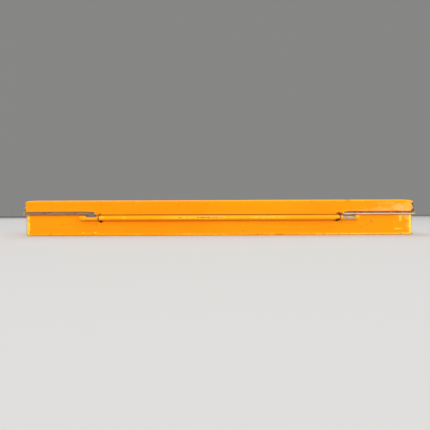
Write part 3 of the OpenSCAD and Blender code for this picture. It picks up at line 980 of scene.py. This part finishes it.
def brighten_curl(shell):
    """The curl's outside faces, the sheet's bare side too, get a lighter copy of the tinplate, a
    painted reflection of the light the curl catches.
    """
    for face in shell.data.polygons:
        x, y, z = (c / MM for c in face.center)
        outside = abs(x) > LID_L / 2 + 0.1 or y > SKIRT_Y + 0.25 or y < LID_Y - LID_W / 2 - 0.05
        if face.material_index == BARE_SLOT and outside and z < CURL_TOP_Z + 0.8:
            face.material_index = LIT_CURL_SLOT


lid = to_piece("lid_of_sheet", build_lid(), bend_lid, [enamel_lid, bare_inside, lit_curl_tinplate])
base = to_piece("base_of_sheet", build_base(), bend_base, [enamel_base, bare_inside])
wire = build_wire(bare_wire)
brighten_curl(lid)
for piece, node, rubbed_and_lit, grime_and_shade in ((lid, "lid_shell", lid_rubbed_and_lit, lid_grime_and_shade),
                                   (base, "base_shell", base_rubbed_and_lit, base_painted_shade)):
    keep_in_box(piece, node)
    write_mask(piece, "rubbed_and_lit", rubbed_and_lit)
    write_mask(piece, "grime_and_shade", grime_and_shade)
write_mask(wire, "grime_and_shade", wire_painted_shade)
for piece, node, body, slot in ((lid, "lid_shell", "lid", "enamel"),
                                (base, "base_shell", "base", "enamel"),
                                (wire, "hinge_wire", "base", "bare_tinplate")):
    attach(piece, body)
    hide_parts(node)


# ---- stage, in metres ----
FLOOR_HALF, FLOOR_COLOUR = 8.0, (0.62, 0.61, 0.60, 1.0)
WORLD_COLOUR, WORLD_STRENGTH = (0.80, 0.80, 0.79, 1.0), 0.30
CAMERA_PLACE, CAMERA_TURN = (0.00215, 0.208, 0.0105), (90, 0.2, 180)
CAMERA_SENSOR, CAMERA_LENS, CAMERA_RANGE = 36.0, 28.8, (0.002, 50.0)
MIDDLE = (0.0, 0.0, 0.009)
HINGE_LEFT = (-0.07, 0.03, 0.012)
# Each light: name, place, what it points at, size, power, whether it shows in reflections.
LIGHTS = [("key", (-0.2, 1.06, 0.86), MIDDLE, (3.0, 1.2), 18.2, True),
          ("front", (-0.05, 1.00, 0.27), MIDDLE, (3.2, 0.44), 7.3, False),
          ("fill", (0.4, -0.8, 1.15), MIDDLE, (3.0, 1.4), 19.0, True),
          ("side", (-0.56, 0.62, 0.27), HINGE_LEFT, (1.1, 0.5), 1.9, False)]


def plain_floor():
    mesh = bpy.data.meshes.new("floor")
    corners = [(sx * FLOOR_HALF, sy * FLOOR_HALF, 0) for sx, sy in ((-1, -1), (1, -1), (1, 1), (-1, 1))]
    mesh.from_pydata(corners, [], [(0, 1, 2, 3)])
    s = Shader("floor")
    s.bsdf.inputs["Base Color"].default_value = FLOOR_COLOUR
    s.bsdf.inputs["Roughness"].default_value = 0.95
    s.bsdf.inputs["Specular IOR Level"].default_value = 0.1
    mesh.materials.append(s.material)
    obj = bpy.data.objects.new("floor", mesh)
    bpy.context.scene.collection.objects.link(obj)


def area_light(name, place, target, size, energy, glossy):
    data = bpy.data.lights.new(name, "AREA")
    data.shape = "RECTANGLE"
    data.size, data.size_y = size
    data.energy = energy
    obj = bpy.data.objects.new(name, data)
    obj.location = place
    obj.rotation_euler = (Vector(target) - Vector(place)).to_track_quat("-Z", "Y").to_euler()
    obj.visible_glossy = glossy
    bpy.context.scene.collection.objects.link(obj)


def studio_world():
    world = bpy.data.worlds.new("studio")
    world.use_nodes = True
    background = world.node_tree.nodes["Background"]
    background.inputs["Color"].default_value = WORLD_COLOUR
    background.inputs["Strength"].default_value = WORLD_STRENGTH
    bpy.context.scene.world = world


def add_camera():
    """Behind the case, close to its back and level with the middle of it, tilted by a hair."""
    lens = bpy.data.cameras.new("camera")
    lens.sensor_width, lens.lens = CAMERA_SENSOR, CAMERA_LENS
    lens.clip_start, lens.clip_end = CAMERA_RANGE
    camera = bpy.data.objects.new("camera", lens)
    camera.location = CAMERA_PLACE
    camera.rotation_euler = [math.radians(angle) for angle in CAMERA_TURN]
    bpy.context.scene.collection.objects.link(camera)
    bpy.context.scene.camera = camera


plain_floor()
studio_world()
for light in LIGHTS:
    area_light(*light)
add_camera()
bpy.context.scene.view_settings.view_transform = "Standard"
